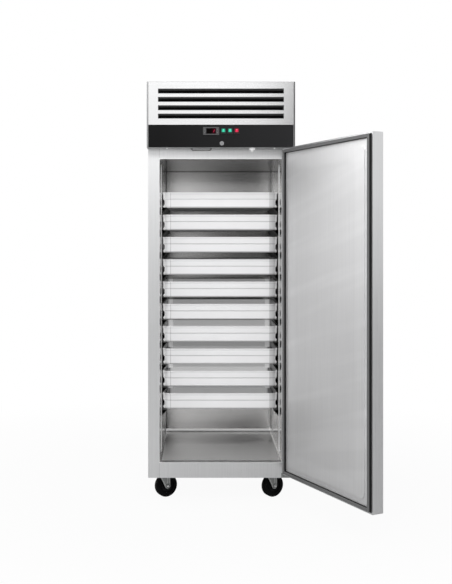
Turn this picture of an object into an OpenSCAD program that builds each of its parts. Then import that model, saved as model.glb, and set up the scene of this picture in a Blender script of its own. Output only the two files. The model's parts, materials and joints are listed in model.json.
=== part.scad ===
// One-door pastry refrigerator on castors, with ten dough boxes on runners,
// a louvred machine compartment on top and a black control panel above the door.
// Millimetres. +Z is up, the door side faces -Y, and the origin is on the floor
// under the centre of the cabinet. The door is drawn open, as it is stored.

/* [Cabinet body] */
// Thickness of the insulated side walls with their sheets
side_wall = 56.5; // [50:0.5:80]
// Depth of the insulated body behind the door
body_d = 790; // [760:1:860]
// Height of the skirt that hides the tops of the castors
skirt_h = 26; // [18:1:34]
// Thickness of the stainless sheets
sheet = 1; // [0.8:0.1:1.4]
// Thickness of the base pan, which carries the castors
base_t = 2; // [1.5:0.5:3]
// Play between a dough box and the liner on either side
tray_side = 4.5; // [4:0.5:10]
// Inner depth from the front frame to the back wall of the liner
inside_d = 716; // [680:1:720]
// Inner height from floor to ceiling
inside_h = 1503; // [1480:1:1600]
// Insulation between the base pan and the floor of the liner
floor_foam = 48; // [35:1:70]
// Insulation between the ceiling of the liner and the top of the body
roof_foam = 68; // [50:1:90]
// Radius of the coved lower corners of the liner
cove_r = 12; // [6:1:25]

/* [Front frame] */
// Thickness of the front frame's sheet
frame_t = 1.2; // [1:0.1:1.6]
// How far the frame folds back into the opening
frame_return = 28; // [20:1:40]
// Corner radius of the door opening
frame_r = 8; // [4:1:16]
// Depth of the plastic thermal break behind the frame
break_w = 8; // [5:1:14]
// Thickness of the thermal break
break_t = 3; // [2:0.5:4]

/* [Door] */
// Margin between the door's side edge and the body's side
door_margin = 6; // [3:1:12]
// Thickness of the door without its gasket
door_t = 55; // [45:1:70]
// Space between the front frame and the closed door
door_gap = 13; // [11:0.5:16]
// Space between the top of the door and the control panel
door_top_gap = 4; // [3.5:0.5:8]
// Space between the bottom of the door and the skirt's lower edge
door_rise = 27; // [22:1:40]
// Angle at which the door stands open
door_open = 116.3; // [100:0.1:150]
// Hinge axis, distance in from the door's side edge
pivot_in = 14; // [12:1:18]
// Hinge axis, distance out from the door's inner face
pivot_out = 30; // [26:1:32]
// Inset of the gasket from the edge of the door
gasket_inset = 12; // [12:1:16]
// Width of the gasket
gasket_w = 32; // [28:1:34]
// Height that the inner panel of the door is raised
dike_h = 5; // [3:0.5:8]
// Height of the finger recess in the door
grip_h = 160; // [120:1:220]
// Width of the finger recess
grip_w = 50; // [40:1:60]
// Depth of the finger recess
grip_d = 28; // [20:1:34]
// Height of the middle of the finger recess above the floor
grip_z = 1010; // [850:1:1150]

/* [Hinges] */
// Radius of the hinge pins
pin_r = 5; // [4:0.5:6]
// Length of the pin inside the door
pin_len = 25; // [18:1:32]
// Thickness of the hinge plates
hinge_t = 5; // [4:0.5:6]
// Outer radius of the hinge bushes
bush_r = 9; // [8:0.5:11]
// Thickness of the bush's flange
bush_flange = 2; // [1.5:0.5:2.5]

/* [Rack] */
// Number of dough boxes
tray_count = 10; // [10:1:10]
// Distance from one runner to the next
tray_pitch = 115.8; // [114:0.1:120]
// Underside of the lowest dough box above the floor
tray_z = 425.4; // [400:0.1:470]
// Width of the dough boxes, which the cabinet is built round
tray_w = 598; // [560:1:660]
// Depth of the dough boxes
tray_d = 398; // [380:1:420]
// Height of the dough boxes
tray_h = 80; // [70:1:82]
// Corner radius of the dough boxes
tray_r = 42; // [30:1:55]
// Wall thickness of the dough boxes
tray_wall = 2.5; // [2:0.1:3.5]
// Height of the step halfway up a dough box
tray_step = 44; // [38:1:48]
// Depth of the hand grooves in the short sides
groove_d = 11; // [6:0.5:12]
// Width of a runner's upper face
runner_w = 25; // [20:1:30]
// Height of a runner
runner_h = 32; // [24:1:33]
// Sheet thickness of a runner
runner_t = 1.5; // [1:0.1:2]
// Width of a slotted upright
upright_w = 30; // [24:1:40]
// Depth of a slotted upright
upright_t = 3; // [2:0.1:3]
// Overlap of the runner beyond the dough box at each end
runner_over = 28; // [20:1:40]

/* [Machine compartment] */
// How far the casing stands out beyond the body at each side
case_lap = 3; // [2.5:0.5:10]
// Height of the casing above the insulated body
unit_h = 302; // [260:1:340]
// Thickness of the casing's sheet
case_t = 1.4; // [1:0.1:1.6]
// How far the control panel stands in front of the frame
overhang = 60; // [58:1:66]
// How far the control panel hangs below the top of the body
panel_drop = 19; // [16:1:24]
// Height of the control panel
panel_h = 109.5; // [100:0.5:120]
// Thickness of the control panel
panel_t = 2; // [1.5:0.5:3]
// Visible width of the casing's front edges
cheek_w = 8; // [6:0.5:12]
// Bevel of the casing's front edges
bevel = 5; // [3:0.5:5.5]

/* [Louvres] */
// Number of louvres
louvre_count = 4; // [2:1:4]
// Length of a louvre
louvre_w = 612; // [500:1:640]
// Height of a louvre's slot
louvre_h = 21; // [14:1:26]
// Distance from one louvre to the next
louvre_pitch = 40.8; // [36:0.1:44]
// Plain band above the first louvre
louvre_top = 35.5; // [25:0.5:45]
// How far a louvre's blade reaches into the casing
louvre_d = 17; // [10:1:22]

/* [Controls] */
// Middle of the thermostat from the centre line
stat_x = -48; // [-120:1:-40]
// Width of the thermostat's bezel
stat_w = 79; // [76:1:90]
// Height of the thermostat's bezel
stat_h = 38; // [34:1:44]
// Height of the middle of the controls above the panel's lower edge
stat_rise = 79.5; // [75:0.5:84]
// Width of the thermostat's window
glass_w = 48; // [40:1:50]
// Height of the thermostat's window
glass_h = 28; // [20:1:30]
// Side of a thermostat button
key_s = 9; // [7:0.5:10]
// Travel of a thermostat button
key_travel = 0.7; // [0.4:0.1:1]
// Middle of the first rocker switch from the centre line
rocker_x = 12.2; // [10:0.1:60]
// Distance from one rocker switch to the next
rocker_pitch = 32.5; // [29:0.1:40]
// Width of a rocker switch's bezel
rocker_w = 26; // [24:1:28]
// Height of a rocker switch's bezel
rocker_h = 32; // [30:1:36]
// Angle between the two positions of a rocker switch
rocker_throw = 14; // [10:1:16]
// Middle of the key lock from the centre line
lock_x = 4.4; // [-20:0.1:30]
// Height of the middle of the lock above the panel's lower edge
lock_rise = 19; // [17:0.5:22]
// Radius of the lock's collar
lock_r = 10.5; // [10:0.5:12]
// Length of the lock's cam
cam_len = 33; // [30:1:36]

/* [Castors] */
// Height of a castor from floor to mounting face
castor_h = 146; // [144:1:160]
// Diameter of a castor's wheel
wheel_d = 114; // [100:1:116]
// Width of a castor's wheel
wheel_w = 32; // [26:1:36]
// Distance from the swivel axis to the axle
trail = 20; // [16:1:30]
// Swivel axis of the left castors from the left side of the body
castor_in_left = 66; // [60:1:120]
// Swivel axis of the right castors from the right side of the body
castor_in_right = 114; // [60:1:120]
// Swivel axis of the castors from the front and the back of the body
castor_in_y = 93; // [82:1:130]
// Angle at which the castors stand
castor_turn = 28; // [0:1:60]

/* [Hidden] */

$fn = 48;

// Running clearance of a pin in its bore, on the radius
run = 0.05;
// Clearance between pieces that slide past each other
slip = 0.3;
// Clearance between sheets that are folded or slid into each other
fit = 0.2;
// Overcut that keeps faces of a cut from coinciding
cut = 1;

// Widths
inside_w = tray_w + 2 * tray_side;
body_w = inside_w + 2 * side_wall;
unit_w = body_w + 2 * case_lap;

// Levels
base_z = castor_h;
skirt_z = base_z - skirt_h;
floor_z = base_z + base_t + floor_foam + sheet;
ceiling_z = floor_z + inside_h;
body_top = ceiling_z + sheet + roof_foam + sheet;
unit_top = body_top + unit_h;
panel_z = body_top - panel_drop;
panel_top = panel_z + panel_h;

// Depths
front_y = -body_d / 2;
back_y = body_d / 2;
frame_back = front_y + frame_t;
liner_y = front_y + frame_return + break_w;
wall_y = front_y + inside_d;
face_y = front_y - overhang;

// Door, as it is when closed
door_w = body_w - 2 * door_margin;
door_in = front_y - door_gap;
door_out = door_in - door_t;
door_z = skirt_z + door_rise;
door_top = panel_z - door_top_gap;
pivot_x = door_w / 2 - pivot_in;
pivot_y = door_in - pivot_out;
gasket_t = door_gap - 2 * slip;
gasket_base = 5;
magnet_w = 18;
lip_w = 8;
lip_h = 8;
hinge_r = min(pivot_in, overhang - door_gap - pivot_out - panel_t - slip);

// Rack
upright_face = inside_w / 2 - upright_t;
runner_len = tray_d + 2 * runner_over;
upright_y = runner_len / 2 - upright_w / 2;
upright_foot = 12;
slots_per_pitch = 2;
tab_w = 6;
tab_h = 12;

// Controls
stat_z = panel_z + stat_rise;
lock_z = panel_z + lock_rise;
bezel_t = 3.5;
glass_t = 2;
glass_inset = 0.4;
key_x = (glass_w / 2 + stat_w / 2) / 2;
key_z = 8.5;
key_proud = 1;
rocker_wall = 1.2;
rocker_in_w = rocker_w - 7;
rocker_in_h = rocker_h - 5;
rocker_body_w = rocker_in_w + 2 * rocker_wall;
rocker_body_h = rocker_in_h + 0.6;
lock_slot_in = 6;
rocker_axis_y = face_y + 3;
core_r = 6;
cam_t = 2.5;
cam_y = face_y + 20.4;
lamp_x = -96.5;
switch_x = 156;
screw_r = 2;
screw_x = unit_w / 2 - 98;
screw_y = front_y - 23;

// Castors
castor_left = body_w / 2 - castor_in_left;
castor_right = body_w / 2 - castor_in_right;
castor_y = body_d / 2 - castor_in_y;
plate_t = 4;
plate_w = 100;
plate_d = 86;
race_r = 24;
axle_r = 5;
hub_w = wheel_w + 4;
leg_t = 3;
leg_in = hub_w / 2 + 0.5;
crown_t = 4;
crown_back = 30;
crown_z = base_z - 27;
race_top = base_z - 15.4;
king_r = 6;

// Machine compartment
deck_z = body_top;
coil_in = 68;
comp_in = 173;
comp_r = 82;
comp_clear = 73;
coil_w = unit_w - coil_in - comp_in - comp_r - comp_clear;
coil_h = 240;
coil_d = 44;
coil_foot = 20;
fan_r = coil_h / 2 - 28;
fan_z = deck_z + coil_foot + coil_h / 2;
fan_x = coil_in + coil_w / 2 - unit_w / 2;
motor_r = 38;
motor_back = 40;
motor_len = 50;
shaft_r = 3;
coil_y = front_y + 24;
shroud_y = coil_y + coil_d + 30;
comp_x = unit_w / 2 - comp_in;
comp_y = 60;
comp_foot_w = 190;
comp_foot_d = 150;
hot_back = 155;
cold_run = 200;
comp_h = 176;
vent_count = 8;
gland_r = 10;
gland_x = unit_w / 2 - 63;
gland_z = deck_z + 40;

module box(x0, x1, y0, y1, z0, z1) {
    translate([x0, y0, z0]) cube([x1 - x0, y1 - y0, z1 - z0]);
}

// Rectangle about the origin with four round corners
module rrect(w, h, r) {
    square([w - 2 * r, h], center = true);
    square([w, h - 2 * r], center = true);
    for (sx = [-1, 1], sy = [-1, 1])
        translate([sx * (w / 2 - r), sy * (h / 2 - r)]) circle(r);
}

// Extrudes a profile drawn in X and Z from y0 to y1
module along_y(y0, y1) {
    translate([0, y1, 0]) rotate([90, 0, 0]) linear_extrude(y1 - y0) children();
}

// Extrudes a profile drawn in Y and Z from x0 to x1
module along_x(x0, x1) {
    translate([x0, 0, 0]) rotate([90, 0, 90]) linear_extrude(x1 - x0) children();
}

// Upright rectangle in X and Z, given by its edges
module rrect_xz(half_w, z0, z1, r) {
    translate([0, (z0 + z1) / 2]) rrect(2 * half_w, z1 - z0, r);
}

module at_door() {
    translate([pivot_x, pivot_y, 0]) rotate([0, 0, door_open])
        translate([-pivot_x, -pivot_y, 0]) children();
}

// Insulated body

module outer_shell() {
    half = body_w / 2;
    color("silver") difference() {
        box(-half, half, frame_back, back_y, skirt_z, body_top);
        box(-half + sheet, half - sheet, frame_back - cut, back_y - sheet,
            skirt_z - cut, body_top - sheet);
    }
}

module body_insulation() {
    half = body_w / 2 - sheet;
    step = inside_w / 2 + break_t + fit;
    color("khaki") difference() {
        box(-half, half, frame_back, back_y - sheet, base_z + base_t, body_top - sheet);
        liner_form(sheet);
        box(-step, step, frame_back - cut, liner_y, floor_z - break_t - fit,
            ceiling_z + break_t + fit);
        coil_pocket();
    }
}

// Section of the liner across the cabinet, with coved lower corners
module liner_width(half_w, z0, z1, r) {
    translate([-half_w, z0 + r]) square([2 * half_w, z1 - z0 - r]);
    translate([-half_w + r, z0]) square([2 * (half_w - r), 2 * r]);
    for (s = [-1, 1]) translate([s * (half_w - r), z0 + r]) circle(r);
}

// Section of the liner from front to back, with a coved lower corner at the back
module liner_depth(y1, z0, z1, r) {
    y0 = liner_y - cut;
    translate([y0, z0 + r]) square([y1 - y0, z1 - z0 - r]);
    translate([y0, z0]) square([y1 - r - y0, 2 * r]);
    translate([y1 - r, z0 + r]) circle(r);
}

// The space inside the liner, or its outer form where grow is the sheet
module liner_form(grow) {
    half = inside_w / 2 + grow;
    r = cove_r + grow;
    intersection() {
        along_y(liner_y - cut, wall_y + grow)
            liner_width(half, floor_z - grow, ceiling_z + grow, r);
        along_x(-half - cut, half + cut)
            liner_depth(wall_y + grow, floor_z - grow, ceiling_z + grow, r);
    }
}

module interior_liner() {
    color("gainsboro") difference() {
        liner_form(sheet);
        liner_form(0);
        box(-body_w, body_w, liner_y - 2 * cut, liner_y, 0, unit_top);
    }
}

module front_frame() {
    half = inside_w / 2;
    color("lightgray") difference() {
        union() {
            along_y(front_y, frame_back) translate([-body_w / 2, skirt_z])
                square([body_w, body_top - skirt_z]);
            along_y(frame_back, front_y + frame_return)
                rrect_xz(half + frame_t, floor_z - frame_t, ceiling_z + frame_t,
                    frame_r + frame_t);
        }
        along_y(front_y - cut, front_y + frame_return + cut)
            rrect_xz(half, floor_z, ceiling_z, frame_r);
    }
}

module thermal_break() {
    half = inside_w / 2;
    color("dimgray") along_y(front_y + frame_return, liner_y) difference() {
        rrect_xz(half + break_t, floor_z - break_t, ceiling_z + break_t, frame_r);
        rrect_xz(half, floor_z, ceiling_z, frame_r);
    }
}

module base_pan() {
    half = body_w / 2 - sheet;
    color("darkgray") difference() {
        box(-half, half, frame_back, back_y - sheet, skirt_z, base_z + base_t);
        box(-half + base_t, half - base_t, frame_back + base_t, back_y - sheet - base_t,
            skirt_z - cut, base_z);
    }
}

// Rack

// Places a slot behind each runner and halfway between, as far as the upright goes
module upright_slots(z0, z1) {
    gap = tray_pitch / slots_per_pitch;
    first = tray_z - slip - runner_h / 2;
    below = floor((first - z0 - tab_h) / gap);
    above = floor((z1 - tab_h - first) / gap);
    for (i = [-below : above]) translate([0, 0, first + i * gap]) children();
}

// Shallow channels, open towards the wall, with a row of slots
module rack_uprights() {
    z0 = floor_z + upright_foot;
    z1 = ceiling_z - upright_foot;
    half_w = upright_w / 2;
    for (sx = [-1, 1], sy = [-1, 1]) color("lightgray")
        translate([0, sy * upright_y, 0]) mirror([sx < 0 ? 1 : 0, 0, 0]) difference() {
            box(upright_face, inside_w / 2, -half_w, half_w, z0, z1);
            box(upright_face + sheet, inside_w / 2 + cut, sheet - half_w, half_w - sheet,
                z0 - cut, z1 + cut);
            upright_slots(z0, z1)
                box(upright_face - cut, inside_w / 2 + cut, -tab_w / 2 - 1, tab_w / 2 + 1,
                    -tab_h / 2 - 1, tab_h / 2 + 1);
        }
}

// Closed triangular section of a runner, with its flat face on top
module runner_section() {
    difference() {
        polygon([[0, 0], [-runner_w, 0], [-runner_w, -3], [0, -runner_h]]);
        polygon([[-runner_t, -runner_t], [-runner_w + 2 * runner_t, -runner_t],
            [-runner_t, -runner_h + 2.6 * runner_t]]);
    }
}

// Each runner hangs by two tabs in the slots of its uprights
module tray_runners() {
    for (i = [0 : tray_count - 1], sx = [-1, 1])
        translate([0, 0, tray_z + i * tray_pitch - slip])
            mirror([sx < 0 ? 1 : 0, 0, 0]) color("dimgray") {
                translate([upright_face, 0, 0])
                    along_y(-runner_len / 2, runner_len / 2) runner_section();
                for (sy = [-1, 1]) translate([upright_face, sy * upright_y, -runner_h / 2])
                    box(-runner_t, upright_t - slip, -tab_w / 2, tab_w / 2,
                        -tab_h / 2, tab_h / 2);
            }
}

// Rim that is deeper towards the corners, where the boxes above rest on it
module box_rim(deep, shallow, inner_d) {
    top_z = tray_h - shallow;
    low_z = tray_h - deep;
    span = tray_w / 2 - 1.5 * tray_r;
    difference() {
        translate([0, 0, low_z]) linear_extrude(deep) rrect(tray_w, tray_d, tray_r);
        for (y0 = [-tray_d, inner_d / 2])
            along_y(y0, y0 + tray_d - inner_d / 2)
                polygon([[-span - deep, low_z - cut], [-span, top_z], [span, top_z],
                    [span + deep, low_z - cut]]);
    }
}

// A stacking dough box: two bands with a panel in relief on each long side,
// a rim, and a hand groove along each short side
module dough_box() {
    rim_t = 3.5;
    corner_rim = 9;
    foot_h = 8;
    band = 2;
    relief = 0.8;
    mid_w = tray_w - 2 * band;
    mid_d = tray_d - 2 * band;
    low_d = tray_d - 4 * band;
    panel_w = tray_w - 2 * tray_r;
    in_w = tray_w - 2 * (groove_d + tray_wall);
    color("whitesmoke") difference() {
        union() {
            box_rim(corner_rim, rim_t, mid_d);
            translate([0, 0, tray_step]) linear_extrude(tray_h - tray_step) {
                rrect(mid_w, mid_d, tray_r - band);
                square([panel_w, mid_d + 2 * relief], center = true);
            }
            translate([0, 0, foot_h / 2]) linear_extrude(tray_step - foot_h / 2 + 1) {
                rrect(mid_w, low_d, tray_r - 2 * band);
                square([panel_w, low_d + 2 * relief], center = true);
            }
            linear_extrude(foot_h) rrect(mid_w - 2 * band, low_d - 2 * band, tray_r - 3 * band);
        }
        translate([0, 0, tray_step]) linear_extrude(tray_h)
            rrect(mid_w - 2 * tray_wall, mid_d - 2 * tray_wall, tray_r - band - tray_wall);
        translate([0, 0, tray_wall]) linear_extrude(tray_h)
            rrect(in_w, low_d - 2 * (band + tray_wall), tray_r - 3 * band - tray_wall);
        for (s = [-1, 1]) along_y(-tray_d, tray_d)
            polygon([[s * (tray_w / 2 + cut), tray_step + 2],
                [s * (tray_w / 2 - band), tray_step + 2],
                [s * (tray_w / 2 - groove_d), tray_step - 6],
                [s * (tray_w / 2 - groove_d), foot_h + 10],
                [s * (tray_w / 2 - band), foot_h],
                [s * (tray_w / 2 + cut), foot_h]]);
    }
}

module place_box(i) {
    translate([0, 0, tray_z + (i - 1) * tray_pitch]) dough_box();
}

// Machine compartment

// Side sheet of the casing seen from above, with its bevelled front edge folded in
module side_section() {
    half = unit_w / 2;
    t = case_t;
    polygon([[half, back_y], [half, face_y + bevel], [half - bevel, face_y],
        [half - cheek_w, face_y], [half - cheek_w, face_y + t],
        [half - bevel - t / 3, face_y + t], [half - t, face_y + bevel + t / 3],
        [half - t, back_y]]);
}

// Cuts through the plate under the overhang: hinge pin, screws and the lock's cam
module apron_holes() {
    translate([pivot_x, pivot_y, panel_z]) cylinder(r = pin_r + 1, h = 8, center = true);
    for (s = [-1, 1]) translate([s * screw_x, screw_y, panel_z])
        cylinder(r = screw_r + run, h = 8, center = true);
    box(lock_x - lock_slot_in, lock_x + cam_len + 2, cam_y - 2, cam_y + cam_t + 2,
        panel_z - cut, panel_z + frame_t + cut);
}

module top_casing() {
    half = unit_w / 2;
    ledge = 24;
    color("silver") difference() {
        union() {
            for (s = [-1, 1]) {
                translate([0, 0, panel_z]) mirror([s < 0 ? 1 : 0, 0, 0])
                    linear_extrude(unit_top - panel_z) side_section();
                l0 = s < 0 ? -half : half - ledge;
                box(l0, l0 + ledge, frame_back, back_y, deck_z, deck_z + case_t);
            }
            box(-half, half, back_y - case_t, back_y, deck_z, unit_top);
            box(case_t / 2 - half, half - case_t / 2, face_y + bevel + case_t, front_y - fit,
                panel_z, panel_z + frame_t);
            box(cheek_w - half, half - cheek_w, face_y + panel_t + fit, face_y + bevel + 2,
                panel_z, panel_z + frame_t);
        }
        apron_holes();
        back_vents();
        translate([gland_x, back_y, gland_z]) rotate([90, 0, 0])
            cylinder(r = gland_r + run, h = 10, center = true);
    }
}

// Two fields of slots with round ends in the back of the casing
module back_vents() {
    vent_w = 120;
    vent_h = 6;
    along_y(back_y - 5, back_y + cut)
        for (i = [0 : vent_count - 1], s = [-1, 1])
            translate([s * 160, deck_z + 90 + i * 20]) rrect(vent_w, vent_h, vent_h / 2 - 0.01);
}

// Tray with folded sides, and front corners that follow the casing's bevels
module roof_panel() {
    half = unit_w / 2 - case_t - fit;
    y0 = face_y + case_t + fit;
    y1 = back_y - case_t - fit;
    leg = bevel - case_t / 2;
    lip = 16;
    color("silver") difference() {
        translate([0, 0, unit_top - lip]) linear_extrude(lip)
            polygon([[-half, y1], [-half, y0 + leg], [leg - half, y0], [half - leg, y0],
                [half, y0 + leg], [half, y1]]);
        box(-half + case_t, half - case_t, face_y - cut, back_y, unit_top - lip - cut,
            unit_top - case_t);
    }
}

// Profile of one louvre, drawn in Y and Z from the top of its slot
module louvre_blade() {
    t = frame_t;
    polygon([[0, 0], [0, -t], [louvre_d - t, t - louvre_h], [louvre_d - t, -louvre_h],
        [louvre_d, -louvre_h], [louvre_d, t / 2 - louvre_h], [t * 1.4, 0]]);
}

module louvre_panel() {
    half = unit_w / 2 - cheek_w - 0.5;
    z0 = panel_top + 1;
    z1 = unit_top - case_t - 0.3;
    back = 18;
    color("gainsboro") {
        difference() {
            box(-half, half, face_y, face_y + back, z0, z1);
            box(-half + frame_t, half - frame_t, face_y + frame_t, face_y + back + cut,
                z0 + frame_t, z1 - frame_t);
            for (i = [0 : louvre_count - 1])
                box(-louvre_w / 2, louvre_w / 2, face_y - cut, face_y + 2 * frame_t,
                    slot_top(i) - louvre_h, slot_top(i));
        }
        for (i = [0 : louvre_count - 1]) translate([0, face_y, slot_top(i)]) {
            along_x(-louvre_w / 2, louvre_w / 2) louvre_blade();
            for (s = [-1, 1]) {
                x0 = s < 0 ? -louvre_w / 2 : louvre_w / 2 - frame_t;
                along_x(x0, x0 + frame_t)
                    polygon([[0.2, 0], [louvre_d, -louvre_h], [0.2, -louvre_h]]);
            }
        }
    }
}

function slot_top(i) = unit_top - louvre_top - i * louvre_pitch;

module control_panel() {
    half = unit_w / 2 - cheek_w - 0.5;
    fold = 20;
    color("black") difference() {
        union() {
            box(-half, half, face_y, face_y + panel_t, panel_z, panel_top);
            box(-half, half, face_y, face_y + fold, panel_top - frame_t, panel_top);
        }
        translate([stat_x, face_y, stat_z])
            cube([stat_w - 8, 3 * panel_t, stat_h - 8], center = true);
        for (i = [0 : 2]) translate([rocker_x + i * rocker_pitch, face_y, stat_z])
            cube([rocker_body_w + 2 * fit, 3 * panel_t, rocker_body_h + 2 * fit],
                center = true);
        translate([lock_x, face_y, lock_z]) rotate([90, 0, 0])
            cylinder(r = lock_r - 1 + run, h = 3 * panel_t, center = true);
    }
}

// Controls

module thermostat_case() {
    body = 58;
    color("darkgray") difference() {
        union() {
            along_y(face_y - bezel_t, face_y) translate([stat_x, stat_z])
                rrect(stat_w, stat_h, 3);
            translate([stat_x, face_y + body / 2, stat_z])
                cube([stat_w - 8, body, stat_h - 8], center = true);
        }
        translate([stat_x, face_y - bezel_t, stat_z])
            cube([glass_w, 2 * glass_t, glass_h], center = true);
        for (sx = [-1, 1], sz = [-1, 1])
            translate([stat_x + sx * key_x, face_y - bezel_t, stat_z + sz * key_z])
                cube([key_s + 2 * slip, 2 * bezel_t, key_s + 2 * slip], center = true);
    }
}

module thermostat_window() {
    y0 = face_y - bezel_t + glass_inset;
    color("maroon") translate([stat_x, 0, stat_z])
        box(-glass_w / 2, glass_w / 2, y0, y0 + glass_t - glass_inset, -glass_h / 2,
            glass_h / 2);
}

// Button i sits left or right of the window, in the lower or the upper row
module thermostat_key(i) {
    sx = i <= 2 ? -1 : 1;
    sz = i % 2 == 1 ? 1 : -1;
    color("gray") translate([stat_x + sx * key_x, 0, stat_z + sz * key_z])
        along_y(face_y - bezel_t - key_proud, face_y - key_travel - slip)
            rrect(key_s, key_s, 1.5);
}

module switch_housings() {
    for (i = [0 : 2]) color("black")
        translate([rocker_x + i * rocker_pitch, 0, stat_z]) difference() {
            union() {
                along_y(face_y - 2.5, face_y) rrect(rocker_w, rocker_h, 2);
                translate([0, face_y + 10, 0])
                    cube([rocker_body_w, 20, rocker_body_h], center = true);
            }
            translate([0, face_y + 2, 0])
                cube([rocker_in_w, 20, rocker_in_h - 1], center = true);
            translate([0, rocker_axis_y, 0]) rotate([0, 90, 0])
                cylinder(r = 1.5 + run, h = rocker_w, center = true);
        }
}

// Rocker with a hollow front, tipped to the position it rests in
module rocker(i, hue) {
    h = rocker_in_h / 2 - 1.8;
    w = rocker_in_w / 2 - slip;
    color(hue) translate([rocker_x + i * rocker_pitch, rocker_axis_y, stat_z])
        rotate([rocker_throw / 2, 0, 0]) {
            along_x(-w, w) polygon([[-6.4, -h], [-4.6, 0], [-6.4, h], [2.2, h - 2.6],
                [3.4, 0], [2.2, 2.6 - h]]);
            rotate([0, 90, 0])
                cylinder(r = 1.5, h = rocker_in_w + 1.4 * rocker_wall, center = true);
        }
}

module lock_barrel() {
    color("silver") translate([lock_x, 0, lock_z]) difference() {
        union() {
            along_y(face_y - 3, face_y) circle(lock_r);
            along_y(face_y, cam_y - slip) circle(lock_r - 1);
        }
        along_y(face_y - 10, cam_y + 10) circle(core_r + run);
    }
}

module lock_core() {
    color("lightgray") translate([lock_x, 0, lock_z]) {
        difference() {
            along_y(face_y - 4, cam_y) circle(core_r);
            translate([0, face_y - 4, 0]) cube([1.6, 8, 7], center = true);
        }
        along_y(cam_y, cam_y + cam_t) {
            circle(core_r);
            translate([0, -4]) square([cam_len - 4, 8]);
            translate([cam_len - 4, 0]) circle(4);
        }
    }
}

module lamp_housing() {
    w_top = 106;
    w_low = 88;
    drop = 10;
    color("silver") translate([lamp_x, 0, 0]) difference() {
        along_y(door_in + 1.5, front_y)
            polygon([[-w_top / 2, panel_z - slip], [w_top / 2, panel_z - slip],
                [w_top / 2, panel_z - 2], [w_low / 2, panel_z - drop],
                [-w_low / 2, panel_z - drop], [-w_top / 2, panel_z - 2]]);
        along_y(front_y - 5, front_y - 2) translate([-w_low / 2 + 4, panel_z - drop - cut])
            square([w_low - 8, 4]);
    }
}

module door_switch() {
    color("white") translate([switch_x, 0, 0]) {
        box(-13.5, 13.5, door_in + 2, front_y, panel_z - 4, panel_z - slip);
        box(-4.5, 4.5, door_in + 3, front_y, panel_z - 13, panel_z - 3);
    }
}

module panel_screws() {
    for (s = [-1, 1]) color("white") translate([s * screw_x, screw_y, panel_z]) {
        translate([0, 0, -screw_r]) cylinder(r = 2 * screw_r, h = screw_r);
        translate([0, 0, -cut]) cylinder(r = screw_r, h = 9);
    }
}

// Hinges

module hinge_plate() {
    translate([pivot_x, pivot_y]) circle(hinge_r);
    translate([pivot_x - hinge_r, pivot_y]) square([2 * hinge_r, front_y - pivot_y]);
}

module hinge_brackets() {
    play = 0.5;
    reach = 40;
    low_top = door_z - bush_flange - play;
    high_z = panel_z + frame_t + 2 * fit;
    color("silver") {
        translate([0, 0, low_top - hinge_t]) linear_extrude(hinge_t) hinge_plate();
        box(pivot_x - reach, pivot_x + hinge_r, front_y - hinge_t, front_y, skirt_z + 2,
            low_top);
        translate([pivot_x, pivot_y, low_top - 1])
            cylinder(r = pin_r, h = pin_len + 1 + bush_flange + play);
        translate([0, 0, high_z]) linear_extrude(hinge_t) hinge_plate();
        box(pivot_x - reach, pivot_x + hinge_r, front_y - hinge_t, front_y, high_z,
            body_top - 1);
        translate([pivot_x, pivot_y, door_top - pin_len])
            cylinder(r = pin_r, h = high_z + 1 - door_top + pin_len);
    }
}

module bush_holes(r, deep) {
    for (z = [door_z, door_top])
        translate([pivot_x, pivot_y, z]) cylinder(r = r, h = 2 * deep, center = true);
}

module hinge_bushes() {
    deep = pin_len + 5;
    color("white") at_door() difference() {
        union() {
            translate([pivot_x, pivot_y, door_z]) cylinder(r = bush_r, h = deep);
            translate([pivot_x, pivot_y, door_z - bush_flange])
                cylinder(r = bush_r + 3, h = bush_flange);
            translate([pivot_x, pivot_y, door_top - deep]) cylinder(r = bush_r, h = deep);
            translate([pivot_x, pivot_y, door_top])
                cylinder(r = bush_r + 3, h = bush_flange);
        }
        bush_holes(pin_r + run, deep + 5);
    }
}

// Door

grip_x = -door_w / 2 + 26 + grip_w / 2;
grip_r = 12;
dike_gap = 8;
dike_r = 24;
dike_half = door_w / 2 - gasket_inset - gasket_w - dike_gap;
dike_z0 = door_z + gasket_inset + gasket_w + dike_gap;
dike_z1 = door_top - gasket_inset - gasket_w - dike_gap;

module lock_slot() {
    box(lock_x - lock_slot_in, lock_x + cam_len + 2, cam_y - 2, cam_y + cam_t + 2,
        door_top - 14, door_top + cut);
}

module grip_hole(grow) {
    along_y(door_out - cut, door_out + grip_d + grow) translate([grip_x, grip_z])
        rrect(grip_w + 2 * grow, grip_h + 2 * grow, grip_r + grow);
}

module door_skin() {
    half = door_w / 2;
    lip = gasket_inset - 1;
    color("silver") at_door() difference() {
        box(-half, half, door_out, door_in, door_z, door_top);
        box(-half + sheet, half - sheet, door_out + sheet, door_in - sheet,
            door_z + sheet, door_top - sheet);
        box(-half + lip, half - lip, door_in - 2 * sheet, door_in + cut,
            door_z + lip, door_top - lip);
        grip_hole(run);
        bush_holes(bush_r + run, 10);
        lock_slot();
    }
}

module door_liner() {
    edge = gasket_inset - 1;
    half = door_w / 2 - edge;
    color("gainsboro") at_door() difference() {
        union() {
            along_y(door_in - sheet, door_in)
                rrect_xz(half, door_z + edge, door_top - edge, 2);
            along_y(door_in - sheet, door_in + dike_h)
                rrect_xz(dike_half, dike_z0, dike_z1, dike_r);
        }
        along_y(door_in - sheet - cut, door_in + dike_h - sheet)
            rrect_xz(dike_half - sheet, dike_z0 + sheet, dike_z1 - sheet, dike_r - sheet);
    }
}

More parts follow.
